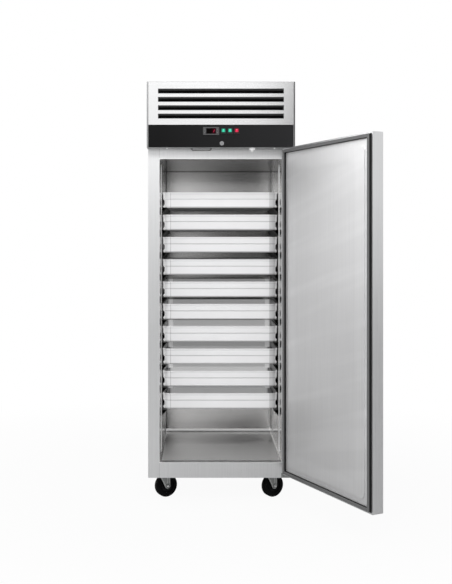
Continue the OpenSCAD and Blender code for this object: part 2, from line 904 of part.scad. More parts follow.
module door_foam() {
    half = door_w / 2 - sheet;
    color("khaki") at_door() difference() {
        union() {
            box(-half, half, door_out + sheet, door_in - sheet, door_z + sheet,
                door_top - sheet);
            along_y(door_in - 2 * sheet, door_in + dike_h - sheet)
                rrect_xz(dike_half - sheet, dike_z0 + sheet, dike_z1 - sheet, dike_r - sheet);
        }
        grip_hole(2.5);
        bush_holes(bush_r, pin_len + 5);
        lock_slot();
    }
}

module gasket_ring(inset, w, y0, y1) {
    half = door_w / 2 - inset;
    along_y(y0, y1) difference() {
        rrect_xz(half, door_z + inset, door_top - inset, 6);
        rrect_xz(half - w, door_z + inset + w, door_top - inset - w, 4);
    }
}

// Flat base, a rib that holds the magnet, and a lower lip towards the inside
module door_gasket() {
    magnet = gasket_inset + 2;
    lip = gasket_inset + gasket_w - lip_w - 1.5;
    shoulder = 1.5;
    color("dimgray") at_door() {
        gasket_ring(gasket_inset, gasket_w, door_in, door_in + gasket_base);
        gasket_ring(magnet, magnet_w, door_in, door_in + gasket_t - shoulder);
        gasket_ring(magnet + shoulder, magnet_w - 2 * shoulder, door_in, door_in + gasket_t);
        gasket_ring(lip, lip_w, door_in, door_in + lip_h);
    }
}

module door_grip() {
    wall = 2.4;
    rim = 6;
    color("black") at_door() difference() {
        union() {
            along_y(door_out - 1.5, door_out) translate([grip_x, grip_z])
                rrect(grip_w + 2 * rim, grip_h + 2 * rim, grip_r + rim);
            along_y(door_out, door_out + grip_d) translate([grip_x, grip_z])
                rrect(grip_w, grip_h, grip_r);
        }
        along_y(door_out - 5, door_out + grip_d - wall) translate([grip_x, grip_z])
            rrect(grip_w - 2 * wall, grip_h - 2 * wall, grip_r - wall);
    }
}

// Castors

module each_castor() {
    for (sy = [-1, 1]) {
        translate([-castor_left, sy * castor_y, 0]) children();
        translate([castor_right, sy * castor_y, 0]) children();
    }
}

module castor_plates() {
    each_castor() color("gainsboro") {
        difference() {
            translate([0, 0, base_z - plate_t]) linear_extrude(plate_t)
                rrect(plate_w, plate_d, 8);
            for (sx = [-1, 1], sy = [-1, 1])
                translate([sx * (plate_w / 2 - 12), sy * (plate_d / 2 - 12), base_z])
                    cylinder(r = 4.5, h = 3 * plate_t, center = true);
        }
        translate([0, 0, race_top + 0.4])
            cylinder(r = race_r + 4, h = base_z - plate_t + 1 - race_top - 0.4);
        translate([0, 0, crown_z - 2]) cylinder(r = king_r, h = base_z - crown_z - 2);
        translate([0, 0, crown_z - 3.2]) cylinder(r = 10, h = 2.8);
    }
}

// One fork with its axle bolt, about the swivel axis
module castor_fork() {
    axle_z = wheel_d / 2;
    end_r = 14.6;
    front = trail + end_r;
    reach = leg_in + leg_t;
    color("silver") {
        difference() {
            union() {
                translate([(front - crown_back) / 2, 0, crown_z]) linear_extrude(crown_t)
                    rrect(front + crown_back, 2 * reach, 5);
                translate([0, 0, crown_z + crown_t - 1])
                    cylinder(r = race_r, h = race_top - crown_z - crown_t + 1);
                for (s = [-1, 1]) {
                    y0 = s < 0 ? -reach : leg_in;
                    along_y(y0, y0 + leg_t) {
                        polygon([[4 - crown_back, crown_z + crown_t - 1],
                            [front, crown_z + crown_t - 1], [front, axle_z],
                            [trail - end_r + 2, axle_z - 6]]);
                        translate([trail, axle_z]) circle(end_r);
                    }
                }
            }
            cylinder(r = king_r + run, h = base_z);
            along_y(-reach - cut, reach + cut) translate([trail, axle_z])
                circle(axle_r + run);
        }
        translate([trail, 0, axle_z]) castor_bolt();
    }
}

module castor_bolt() {
    reach = leg_in + leg_t;
    along_y(-reach - 5, reach + 6) circle(axle_r);
    along_y(-reach - 6, -reach) circle(8.5, $fn = 6);
    along_y(reach, reach + 6) circle(8.5, $fn = 6);
}

module castor_wheel() {
    r = wheel_d / 2;
    half = wheel_w / 2;
    color("black") translate([trail, 0, r]) rotate([90, 0, 0]) rotate_extrude($fn = 96)
        difference() {
            union() {
                translate([axle_r + run, -hub_w / 2]) square([9, hub_w]);
                translate([axle_r + run, -half + 5]) square([r - 16, wheel_w - 10]);
                translate([r - 20, -half]) square([14, wheel_w]);
                translate([r - 8, 4 - half]) square([8, wheel_w - 8]);
                for (s = [-1, 1]) translate([r - 7, s * (half - 7)]) circle(7);
            }
            translate([-50, -50]) square([50 + axle_r + run, 100]);
        }
}

module at_castor(sx, sy) {
    x = sx < 0 ? -castor_left : castor_right;
    translate([x, sy * castor_y, 0]) rotate([0, 0, castor_turn]) children();
}

// Refrigeration

// Welded shell with a domed top, on a plate with four rubber feet
module compressor() {
    dome_r = comp_r / 2 - 1;
    low_r = 14;
    foot_h = 14;
    plate = [comp_foot_w, comp_foot_d];
    color("black") translate([comp_x, comp_y, deck_z]) {
        translate([0, 0, foot_h + 4]) rotate_extrude($fn = 64) {
            translate([0, low_r]) square([comp_r, comp_h - dome_r - 10 - low_r]);
            square([comp_r - low_r, low_r + 1]);
            translate([comp_r - low_r, low_r]) circle(low_r);
            translate([0, comp_h - dome_r - 11]) square([comp_r - dome_r, dome_r + 1]);
            translate([comp_r - dome_r, comp_h - dome_r - 10]) circle(dome_r);
        }
        for (sx = [-1, 1], sy = [-1, 1])
            translate([sx * (plate[0] / 2 - 17), sy * (plate[1] / 2 - 17), 0])
                cylinder(r = 12, h = foot_h);
        translate([0, 0, foot_h]) linear_extrude(5) rrect(plate[0], plate[1], 20);
    }
}

module condenser() {
    fins = 26;
    z0 = deck_z + coil_foot;
    color("dimgray") difference() {
        union() {
            box(fan_x - coil_w / 2, fan_x + coil_w / 2, coil_y, coil_y + coil_d, z0,
                z0 + coil_h);
            box(fan_x - coil_w / 2 + 10, fan_x + coil_w / 2 - 10, coil_y + 6,
                coil_y + coil_d - 6, deck_z, z0 + 1);
        }
        for (i = [0 : fins - 1]) {
            x = fan_x - coil_w / 2 + 8 + i * (coil_w - 16) / fins;
            box(x, x + 0.6 * (coil_w - 16) / fins, coil_y - cut, coil_y + coil_d * 0.6,
                z0 + 8, z0 + coil_h - 8);
        }
    }
}

module fan_shroud() {
    z0 = deck_z + coil_foot;
    arm_r = fan_r + 14;
    motor_y = shroud_y + motor_back;
    color("darkgray") {
        difference() {
            union() {
                box(fan_x - coil_w / 2, fan_x + coil_w / 2, coil_y + coil_d, shroud_y + 2, z0,
                    z0 + coil_h);
                box(fan_x - coil_w / 2 + 20, fan_x + coil_w / 2 - 20, shroud_y - 10,
                    shroud_y + 2, deck_z, z0 + 1);
            }
            box(fan_x - coil_w / 2 + 2, fan_x + coil_w / 2 - 2, coil_y + coil_d - cut,
                shroud_y, z0 + 2, z0 + coil_h - 2);
            translate([fan_x, shroud_y, fan_z]) rotate([90, 0, 0])
                cylinder(r = fan_r + 5, h = 2 * coil_d, center = true);
        }
        // Motor on three arms behind the fan
        translate([fan_x, motor_y + motor_len, fan_z]) rotate([90, 0, 0])
            cylinder(r = motor_r, h = motor_len);
        for (a = [90, 210, 330]) translate([fan_x, 0, fan_z]) rotate([0, a, 0]) {
            box(motor_r - 8, arm_r, motor_y + 6, motor_y + 10, -6, 6);
            box(arm_r - 6, arm_r, shroud_y, motor_y + 10, -6, 6);
        }
        translate([fan_x, motor_y + 1, fan_z]) rotate([90, 0, 0])
            cylinder(r = shaft_r, h = 36);
    }
}

module condenser_fan() {
    hub_r = 24;
    blades = 5;
    blade_w = 44;
    blade_t = 2.4;
    color("black") translate([fan_x, shroud_y + 22, fan_z]) difference() {
        union() {
            rotate([90, 0, 0]) cylinder(r = hub_r, h = 26, center = true);
            for (i = [0 : blades - 1]) rotate([0, i * 360 / blades, 0])
                translate([hub_r - 4, 0, 0]) rotate([28, 0, 0])
                    translate([0, -blade_t / 2, -blade_w / 2])
                        cube([fan_r - hub_r + 2, blade_t, blade_w]);
        }
        rotate([90, 0, 0]) cylinder(r = shaft_r + run, h = 60, center = true);
    }
}

coil_runs = 12;
coil_gap = 104;
coil_half = 240;
tube_r = 4;
coil_tube_y = wall_y + sheet + tube_r + 0.2;
coil_z = floor_z + 170;

module coil_pocket() {
    box(-coil_half - 70, coil_half + 70, wall_y, wall_y + sheet + 2 * tube_r + 2,
        coil_z - 20, coil_z + (coil_runs - 1) * coil_gap + 20);
}

// Tube that winds to and fro behind the back wall of the liner
module evaporator_coil() {
    color("peru") for (i = [0 : coil_runs - 1]) {
        translate([0, coil_tube_y, coil_z + i * coil_gap]) rotate([0, 90, 0])
            cylinder(r = tube_r, h = 2 * coil_half, center = true);
        if (i < coil_runs - 1) {
            s = i % 2 == 0 ? 1 : -1;
            translate([s * coil_half, coil_tube_y, coil_z + (i + 0.5) * coil_gap])
                rotate([90, 0, 0]) rotate([0, 0, s > 0 ? -90 : 90])
                    rotate_extrude(angle = 180) translate([coil_gap / 2, 0]) circle(tube_r);
        }
    }
}

module pipe(a, b, r) {
    d = b - a;
    span = norm(d);
    translate(a) rotate([0, acos(d[2] / span), atan2(d[1], d[0])]) cylinder(r = r, h = span);
}

// Tube along straight stretches, with a ball in each bend and flat ends
module pipe_run(points, r) {
    last = len(points) - 1;
    for (i = [0 : last - 1]) pipe(points[i], points[i + 1], r);
    for (i = [1 : last - 1]) translate(points[i]) sphere(r);
}

module refrigerant_pipes() {
    near = comp_x - comp_r;
    hot_x = near - 30;
    hot_z = deck_z + comp_h / 2 + 2;
    in_y = coil_y + coil_d - 8;
    in_z = deck_z + coil_foot + coil_h - 30;
    hot = [[near - slip, comp_y, hot_z], [hot_x, comp_y, hot_z],
        [hot_x, in_y + hot_back, hot_z], [hot_x, in_y, in_z],
        [fan_x + coil_w / 2 + slip, in_y, in_z]];
    far_y = comp_y + comp_r;
    cold_x = comp_x - cold_run;
    cold_y = far_y + 60;
    cold_z = hot_z - 10;
    cold = [[comp_x, far_y + slip, cold_z], [comp_x, cold_y, cold_z],
        [cold_x, cold_y, cold_z], [cold_x, cold_y, deck_z + slip]];
    color("peru") {
        pipe_run(hot, tube_r);
        pipe_run(cold, tube_r + 0.5);
    }
}

module cable_gland() {
    nut_r = gland_r + 4;
    color("black") translate([gland_x, 0, gland_z]) difference() {
        union() {
            along_y(back_y - case_t - 6, back_y) circle(gland_r);
            along_y(back_y, back_y + 5) circle(nut_r, $fn = 6);
            along_y(back_y - case_t - 10, back_y - case_t) circle(nut_r, $fn = 6);
        }
        along_y(back_y - 30, back_y + 30) circle(gland_r / 2);
    }
}

outer_shell();
body_insulation();
interior_liner();
front_frame();
thermal_break();
base_pan();
rack_uprights();
tray_runners();
place_box(1);  // dough_box_1
place_box(2);  // dough_box_2
place_box(3);  // dough_box_3
place_box(4);  // dough_box_4
place_box(5);  // dough_box_5
place_box(6);  // dough_box_6
place_box(7);  // dough_box_7
place_box(8);  // dough_box_8
place_box(9);  // dough_box_9
place_box(10);  // dough_box_10
top_casing();
roof_panel();
louvre_panel();
control_panel();
thermostat_case();
thermostat_window();
thermostat_key(1);  // thermostat_key_1
thermostat_key(2);  // thermostat_key_2
thermostat_key(3);  // thermostat_key_3
thermostat_key(4);  // thermostat_key_4
switch_housings();
rocker(0, "mediumseagreen");  // light_rocker
rocker(1, "mediumseagreen");  // fan_rocker
rocker(2, "crimson");  // power_rocker
lock_barrel();
lock_core();
lamp_housing();
door_switch();
panel_screws();
hinge_brackets();
door_skin();
door_liner();
door_foam();
door_gasket();
door_grip();
hinge_bushes();
castor_plates();
at_castor(-1, -1) castor_fork();  // castor_fork_front_left
at_castor(1, -1) castor_fork();  // castor_fork_front_right
at_castor(-1, 1) castor_fork();  // castor_fork_rear_left
at_castor(1, 1) castor_fork();  // castor_fork_rear_right
at_castor(-1, -1) castor_wheel();  // castor_wheel_front_left
at_castor(1, -1) castor_wheel();  // castor_wheel_front_right
at_castor(-1, 1) castor_wheel();  // castor_wheel_rear_left
at_castor(1, 1) castor_wheel();  // castor_wheel_rear_right
compressor();
condenser();
fan_shroud();
condenser_fan();
evaporator_coil();
refrigerant_pipes();
cable_gland();
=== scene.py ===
import json
import math

import bmesh
import bpy
from mathutils import Matrix, Vector

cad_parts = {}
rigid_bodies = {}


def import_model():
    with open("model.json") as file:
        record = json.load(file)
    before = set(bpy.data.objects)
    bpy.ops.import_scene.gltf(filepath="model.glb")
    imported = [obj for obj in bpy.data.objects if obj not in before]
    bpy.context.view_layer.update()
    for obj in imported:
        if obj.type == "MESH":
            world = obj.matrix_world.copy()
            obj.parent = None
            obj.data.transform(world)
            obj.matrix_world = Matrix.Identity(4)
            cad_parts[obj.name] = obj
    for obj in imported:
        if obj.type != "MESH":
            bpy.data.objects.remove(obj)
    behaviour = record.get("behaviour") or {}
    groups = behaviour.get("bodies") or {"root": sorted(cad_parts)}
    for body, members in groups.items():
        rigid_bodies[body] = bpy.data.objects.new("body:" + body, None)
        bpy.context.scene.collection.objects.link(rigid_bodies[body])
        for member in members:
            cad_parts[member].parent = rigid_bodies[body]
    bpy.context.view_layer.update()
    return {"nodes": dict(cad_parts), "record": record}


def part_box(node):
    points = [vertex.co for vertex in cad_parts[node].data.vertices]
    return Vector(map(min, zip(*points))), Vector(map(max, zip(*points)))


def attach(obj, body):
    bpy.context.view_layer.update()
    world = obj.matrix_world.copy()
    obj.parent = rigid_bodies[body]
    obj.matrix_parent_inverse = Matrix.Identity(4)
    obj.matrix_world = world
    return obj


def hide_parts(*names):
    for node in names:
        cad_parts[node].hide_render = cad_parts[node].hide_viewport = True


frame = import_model()
NODES = frame["nodes"]
JOINTS = frame["record"]["behaviour"]["joints"]
MM = 0.001

# Names of the CAD nodes that come in sets
CORNERS = [f"{end}_{side}" for end in ("front", "rear") for side in ("left", "right")]
FORKS = ["castor_fork_" + corner for corner in CORNERS]
WHEELS = ["castor_wheel_" + corner for corner in CORNERS]
BOXES = [f"dough_box_{i}" for i in range(1, 11)]
KEYS = [f"thermostat_key_{i}" for i in range(1, 5)]
ROCKERS = ["light_rocker", "fan_rocker", "power_rocker"]

# Places taken from the CAD model
FACE_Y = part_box("louvre_panel")[0][1]
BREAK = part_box("thermal_break")
KINGPINS = {j["child"]: j["pos_m"] for j in JOINTS if j["name"].startswith("castor_swivel")}
AXLES = {j["parent"]: j["pos_m"] for j in JOINTS if j["name"].startswith("castor_roll")}
HINGE = next(j for j in JOINTS if j["name"] == "door_hinge")
PIVOT = HINGE["pos_m"]
DOOR_OPEN = math.radians(-HINGE["range_deg"][0])
DOOR_TURN = (Matrix.Translation(PIVOT) @ Matrix.Rotation(DOOR_OPEN, 4, "Z")
             @ Matrix.Translation([-v for v in PIVOT]))

# Sizes of the CAD model that its boxes don't give
BOX_STEP = 44 * MM
BOX_RIM = 9 * MM
BOX_CORNER = 42 * MM
SLOTS = 4
SLOT_TOP = 35.5 * MM
SLOT_PITCH = 40.8 * MM
SLOT_H = 21 * MM
SLOT_W = 612 * MM
DOOR_W = 708 * MM
DOOR_GAP = 13 * MM
CASTOR_TURN = math.radians(28)

# Depth at which the gasket's flat head begins, from the door's inner face
GASKET_HEAD = 9.6 * MM


def corners(box):
    """Lowest and highest corner of a box."""
    return [Vector(v) for v in box]


# Materials

def add_node(tree, kind, links=None, **values):
    """A node: values sets its inputs and settings, links feeds its inputs."""
    n = tree.nodes.new(kind)
    for key, value in values.items():
        if key in n.inputs:
            n.inputs[key].default_value = value
        else:
            setattr(n, key, value)
    for key, source in (links or {}).items():
        tree.links.new(source, n.inputs[key])
    return n


class Shader:
    """A Principled material and shortcuts for its node tree."""

    def __init__(self, name, color, rough, metal=0.0, **sockets):
        self.name = name
        self.color = color
        self.rough = rough
        self.mat = bpy.data.materials.new(name)
        self.mat.use_nodes = True
        self.tree = self.mat.node_tree
        self.bsdf = self.tree.nodes["Principled BSDF"]
        self.bsdf.inputs["Base Color"].default_value = (*color, 1)
        self.bsdf.inputs["Roughness"].default_value = rough
        self.bsdf.inputs["Metallic"].default_value = metal
        for key, value in sockets.items():
            self.bsdf.inputs[key.replace("_", " ")].default_value = value

    def node(self, kind, links=None, **values):
        return add_node(self.tree, kind, links, **values)

    def feed(self, name, value):
        """Sets an input of the Principled node to a number or feeds it from a socket."""
        if isinstance(value, (int, float)):
            self.bsdf.inputs[name].default_value = value
        else:
            self.tree.links.new(value, self.bsdf.inputs[name])

    def point(self):
        """Coordinates in metres in the frame of the object."""
        return self.node("ShaderNodeTexCoord").outputs["Object"]

    def axes(self, centre=(0, 0, 0), turn=0.0):
        """X, Y and Z about a centre, turned back about the vertical by turn."""
        moved = self.node("ShaderNodeVectorMath", {"Vector": self.point()},
                          operation="SUBTRACT")
        moved.inputs[1].default_value = centre
        turned = self.node("ShaderNodeVectorRotate", {"Vector": moved.outputs["Vector"]},
                           rotation_type="Z_AXIS", Angle=-turn)
        split = self.node("ShaderNodeSeparateXYZ", {"Vector": turned.outputs["Vector"]})
        return [split.outputs[axis] for axis in "XYZ"]

    def noise(self, scale, detail, rough=0.5):
        """Noise with its own scale along each axis."""
        mapping = self.node("ShaderNodeMapping", {"Vector": self.point()}, Scale=scale)
        return self.node("ShaderNodeTexNoise", {"Vector": mapping.outputs["Vector"]},
                         Scale=1.0, Detail=detail, Roughness=rough).outputs["Fac"]

    def math(self, operation, a, b=None):
        """One sum on numbers or sockets."""
        n = self.node("ShaderNodeMath", operation=operation)
        for i, value in enumerate((a, b)):
            if value is None:
                continue
            if isinstance(value, (int, float)):
                n.inputs[i].default_value = value
            else:
                self.tree.links.new(value, n.inputs[i])
        return n.outputs["Value"]

    def abs(self, value):
        return self.math("ABSOLUTE", value)

    def both(self, a, b):
        """1 where both masks are 1."""
        return self.math("MULTIPLY", a, b)

    def spread(self, source, low, high, new_low, new_high):
        """source mapped from low..high to new_low..new_high, kept inside."""
        n = self.node("ShaderNodeMapRange", {"Value": source})
        for key, value in (("From Min", low), ("From Max", high), ("To Min", new_low),
                           ("To Max", new_high)):
            n.inputs[key].default_value = value
        return n.outputs["Result"]

    def mix_in(self, blend_type):
        """Lays a mix over the base colour; returns its node and its second colour."""
        mix = self.node("ShaderNodeMix", data_type="RGBA", blend_type=blend_type)
        first, second = [s for s in mix.inputs if s.type == "RGBA"]
        base = self.bsdf.inputs["Base Color"]
        if base.is_linked:
            self.tree.links.new(base.links[0].from_socket, first)
        else:
            first.default_value = (*self.color, 1)
        self.tree.links.new([s for s in mix.outputs if s.type == "RGBA"][0], base)
        return mix, second

    def tone(self, factor):
        """Base colour times factor, and times what was set before."""
        mix, second = self.mix_in("MULTIPLY")
        mix.inputs["Factor"].default_value = 1.0
        self.tree.links.new(factor, second)

    def shade(self, mask, factor):
        """Base colour times factor where mask is 1."""
        self.tone(self.spread(mask, 0, 1, 1, factor))

    def paint(self, mask, color):
        """Another colour where mask is 1."""
        mix, second = self.mix_in("MIX")
        self.tree.links.new(mask, mix.inputs["Factor"])
        second.default_value = (*color, 1)

    def glow(self, strength, color=(1, 1, 1)):
        """Light of its own; strength is a number or a socket."""
        self.bsdf.inputs["Emission Color"].default_value = (*color, 1)
        self.feed("Emission Strength", strength)

    def roughen(self, factor):
        """Roughness times factor."""
        self.feed("Roughness", self.math("MULTIPLY", factor, self.rough))

    def bump(self, height, distance, strength=1.0):
        """Adds a bump of that depth in metres."""
        n = self.node("ShaderNodeBump", {"Height": height}, Distance=distance,
                      Strength=strength)
        normal = self.bsdf.inputs["Normal"]
        if normal.is_linked:
            self.tree.links.new(normal.links[0].from_socket, n.inputs["Normal"])
        self.tree.links.new(n.outputs["Normal"], normal)


def steel(name, color, rough, grain, cloud=0.05, lines=0.05, relief=0.4):
    """Brushed sheet with its grain along one axis: x, y or z."""
    s = Shader(name, color, rough, metal=0.95)

    def stretched(across, along):
        return [along if axis == grain else across for axis in "xyz"]

    brush = s.noise(stretched(1400.0, 9.0), detail=4.0, rough=0.6)
    bands = s.noise(stretched(220.0, 2.5), detail=2.0)
    patches = s.noise((2.2, 2.2, 1.6), detail=2.0)
    s.tone(s.spread(brush, 0.35, 0.65, 1 - lines, 1 + lines * 0.8))
    s.tone(s.spread(bands, 0.3, 0.7, 0.975, 1.02))
    s.tone(s.spread(patches, 0.3, 0.7, 1 - cloud, 1 + cloud / 2))
    s.roughen(s.spread(brush, 0.3, 0.7, 0.82, 1.2))
    s.bump(brush, 0.02 * MM, relief)
    return s


def plastic(name, color, rough, cloud=0.04, **sockets):
    """Moulded plastic or paint with a fine orange-peel grain."""
    s = Shader(name, color, rough, **sockets)
    grit = s.noise((900.0,) * 3, detail=2.0)
    patches = s.noise((9.0,) * 3, detail=3.0)
    s.tone(s.spread(patches, 0.3, 0.7, 1 - cloud, 1 + cloud))
    s.roughen(s.spread(grit, 0.3, 0.7, 0.9, 1.12))
    s.bump(grit, 0.03 * MM, 0.6)
    return s


def frame_steel():
    """Frame sheet: butt seams above and below the opening's sides; painted highlight round
    it.
    """
    s = steel("steel_frame", (0.86, 0.865, 0.87), 0.33, "z", cloud=0.02, lines=0.02)
    x, _, z = s.axes()
    wide = s.abs(x)
    seam_x = BREAK[1][0] - 3 * MM
    line = s.spread(s.abs(s.math("SUBTRACT", wide, seam_x)), 0.4 * MM, 1.1 * MM, 1, 0)
    above = s.spread(z, BREAK[1][2], BREAK[1][2] + 2 * MM, 0, 1)
    below = s.spread(z, BREAK[0][2] - 2 * MM, BREAK[0][2], 1, 0)
    seam = s.both(line, s.math("MAXIMUM", above, below))
    s.shade(seam, 0.72)
    s.bump(seam, -0.6 * MM)
    low, high = corners(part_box("interior_liner"))
    # Painted highlight: the lip round the opening made lighter
    lip = s.both(s.spread(z, low.z - 3 * MM, low.z - 2 * MM, 0, 1),
                 s.spread(z, high.z + 1 * MM, high.z + 2 * MM, 1, 0))
    lip = s.both(lip, s.spread(wide, high.x + 1 * MM, high.x + 2 * MM, 1, 0))
    s.shade(lip, 1.18)
    return s


def fascia_steel():
    """Bright fascia with painted shade: a dark rim round each slot, the blades behind it
    darker.
    """
    s = steel("steel_fascia", (0.83, 0.83, 0.835), 0.2, "x", cloud=0.01, lines=0.005,
              relief=0.02)
    x, y, z = s.axes()
    first_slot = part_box("roof_panel")[1][2] - SLOT_TOP - SLOT_H / 2
    down = s.math("SUBTRACT", first_slot, z)
    row = s.math("ROUND", s.math("DIVIDE", down, SLOT_PITCH))
    row = s.math("MINIMUM", s.math("MAXIMUM", row, 0), SLOTS - 1)
    off = s.abs(s.math("SUBTRACT", down, s.math("MULTIPLY", row, SLOT_PITCH)))
    inner, outer = 1.4 * MM, 2 * MM
    rim = s.both(s.spread(off, SLOT_H / 2 + inner, SLOT_H / 2 + outer, 1, 0),
                 s.spread(s.abs(x), SLOT_W / 2 + inner, SLOT_W / 2 + outer, 1, 0))
    # Painted shade: dark rims round the slots, then the blades behind the face darkened
    s.shade(rim, 0.12)
    s.tone(s.spread(y, FACE_Y + 0.02 * MM, FACE_Y + 0.25 * MM, 1, 0.66))
    return s


def casing_steel():
    """Side sheets of the machine casing: darker steel and a darker bevel along the fascia, as
    painted shade.
    """
    # A darker copy of the body's steel, as painted shade on the cheeks
    s = steel("steel_casing", (0.62, 0.625, 0.63), 0.33, "z")
    _, y, _ = s.axes()
    # Painted shade on the bevel along the fascia
    s.tone(s.spread(y, FACE_Y + 5 * MM, FACE_Y + 6 * MM, 0.5, 1))
    return s


def liner_steel():
    """Bright liner: darker at its back sheet's edges; painted light on its floor and seam."""
    s = steel("steel_liner", (0.7, 0.695, 0.69), 0.2, "x", lines=0.03)
    sheet = 1 * MM
    low, high = corners(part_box("interior_liner"))
    x, y, z = s.axes()
    back = s.math("SUBTRACT", high.y - sheet, y)
    side = s.math("SUBTRACT", high.x - sheet, s.abs(x))
    top = s.math("SUBTRACT", high.z - sheet, z)
    foot = s.math("SUBTRACT", z, low.z + sheet)
    # Darker along the edges of the back sheet
    back_sheet_edge = s.math("MINIMUM", s.math("MAXIMUM", back, side), s.math("MAXIMUM", back, top))
    s.tone(s.spread(back_sheet_edge, 1.5 * MM, 5 * MM, 0.3, 1))
    # Painted highlight and glow on the ground seam at the back's foot
    seam = s.both(s.spread(foot, 3 * MM, 5 * MM, 0, 1),
                  s.spread(foot, 14 * MM, 17 * MM, 1, 0))
    seam = s.both(seam, s.spread(back, 12 * MM, 16 * MM, 1, 0))
    s.shade(seam, 1.35)
    s.glow(s.math("MULTIPLY", seam, 0.28))
    # The floor, made lighter below as painted light
    bottom = s.spread(foot, 0.5 * MM, 1 * MM, 1, 0)
    cove = s.both(s.spread(foot, 4 * MM, 5 * MM, 1, 0),
                  s.spread(back, 16 * MM, 24 * MM, 1, 0))
    s.shade(bottom, 1.15)
    dull = s.math("MAXIMUM", s.math("MAXIMUM", seam, cove), s.math("MULTIPLY", bottom, 0.5))
    s.feed("Metallic", s.spread(dull, 0, 1, 0.95, 0.1))
    rough = s.bsdf.inputs["Roughness"].links[0].from_socket
    s.feed("Roughness", s.math("MULTIPLY", rough, s.spread(side, 0, 2 * MM, 0.55, 1)))
    return s


def rack_steel():
    """Punched upright: front flange lit along the wall and shaded further in, both painted.
    """
    s = steel("steel_rack", (0.6, 0.6, 0.6), 0.3, "z")
    x, y, _ = s.axes()
    low, high = corners(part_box("rack_uprights"))
    flange = s.spread(y, low.y + 0.3 * MM, low.y + 1.2 * MM, 1, 0)
    wall = s.spread(s.abs(x), high.x - 10 * MM, high.x - 8 * MM, 0, 1)
    # Painted highlight on the flange along the wall, painted shade on it further in
    s.shade(s.both(flange, wall), 1.55)
    s.shade(s.both(flange, s.math("SUBTRACT", 1.0, wall)), 0.3)
    return s


def lamp_steel():
    """Housing of the lamp: bright upper lip; painted shade on its sloping body and ends."""
    s = steel("steel_lamp", (0.75, 0.75, 0.76), 0.3, "x", lines=0.02)
    low, high = corners(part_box("lamp_housing"))
    x, _, z = s.axes(((low.x + high.x) / 2, 0, high.z))
    lip_h = 4.5 * MM
    lip_w = 41 * MM
    body = s.spread(z, -lip_h - 2.5 * MM, -lip_h, 1, 0)
    ends = s.spread(s.abs(x), lip_w, lip_w + 3 * MM, 0, 1)
    # Painted shade on the sloping body and the ends
    s.shade(s.math("MAXIMUM", body, s.math("MULTIPLY", ends, 0.85)), 0.28)
    return s


def black_sheet():
    """Matt black sheet, with painted light making it a little lighter towards the right."""
    s = plastic("black_panel", (0.004, 0.004, 0.0043), 0.5, Specular_IOR_Level=0.1)
    x, _, _ = s.axes()
    # Painted light: lighter towards the right
    s.tone(s.spread(x, -0.3, 0.35, 1, 4))
    return s


# Painted light: a glow on each box for light through its thin walls, from the lowest box up:
# on the inner face of its rear wall, and on its front
GLOWS = dict(zip(BOXES, [(0.24, 0.05), (0.4, 0.05), (0.26, 0.05), (0.4, 0.05), (0.3, 0.05),
                         (0.26, 0.05), (0.06, 0.05), (0.2, 0.05), (0.2, 0.06), (0.16, 0.12)]))


def box_plastic(box):
    """White polyethylene of one dough box, with painted glow and painted shade at its mould's
    creases.
    """
    s = plastic("plastic_" + box, (0.82, 0.82, 0.83), 0.38, cloud=0.015)
    inside, outside = GLOWS[box]
    low, high = corners(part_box(box))
    x, y, z = s.axes(((low.x + high.x) / 2, (low.y + high.y) / 2, low.z))
    half = (high - low) / 2
    wide = s.abs(x)
    deep = s.abs(y)
    pillar = half.x - BOX_CORNER
    fade = 4 * MM

    # Inner face of the rear wall, for the painted glow
    inner = s.both(s.spread(wide, half.x - 8 * MM, half.x - 7 * MM, 1, 0),
                   s.spread(deep, half.y - 4.6 * MM, half.y - 4.3 * MM, 1, 0))
    inner = s.both(inner, s.spread(y, half.y - 20 * MM, half.y - 12 * MM, 0, 1))
    # Front, painted glow: a little more at its left corner, less at its right one, most at
    # its ends
    across = s.math("MAXIMUM", s.spread(x, pillar, pillar + fade, 0.05, 0),
                    s.spread(x, -pillar - fade, -pillar, 0.1, 0))
    ends = s.spread(wide, half.x - 16 * MM, half.x - 8 * MM, 0, 0.25)
    front = s.spread(y, 28 * MM - half.y, 38 * MM - half.y, 1, 0)
    outer = s.both(front, s.math("ADD", s.math("ADD", across, ends), outside))
    s.glow(s.math("ADD", outer, s.math("MULTIPLY", inner, inside)))

    # Painted shade along a crease of the mould
    def painted_shade_line(source, at, width, shade):
        off = s.abs(s.math("SUBTRACT", source, at))
        s.tone(s.spread(off, width / 2, width / 2 + 2 * MM, shade, 1))

    painted_shade_line(z, BOX_STEP, 3 * MM, 0.72)
    painted_shade_line(z, 2 * half.z - BOX_RIM, 2 * MM, 0.85)
    painted_shade_line(wide, pillar, 3 * MM, 0.76)
    # Painted shade on the right corner
    s.tone(s.spread(x, pillar, pillar + fade, 1, 0.78))
    # Painted shade at the foot
    s.tone(s.spread(z, 4 * MM, 9 * MM, 0.7, 1))
    s.tone(s.spread(z, 2 * MM, 4 * MM, 0.6, 1))
    s.bump(s.spread(s.abs(s.math("SUBTRACT", z, BOX_STEP)), 0, 3 * MM, 1, 0), -0.8 * MM)
    return s


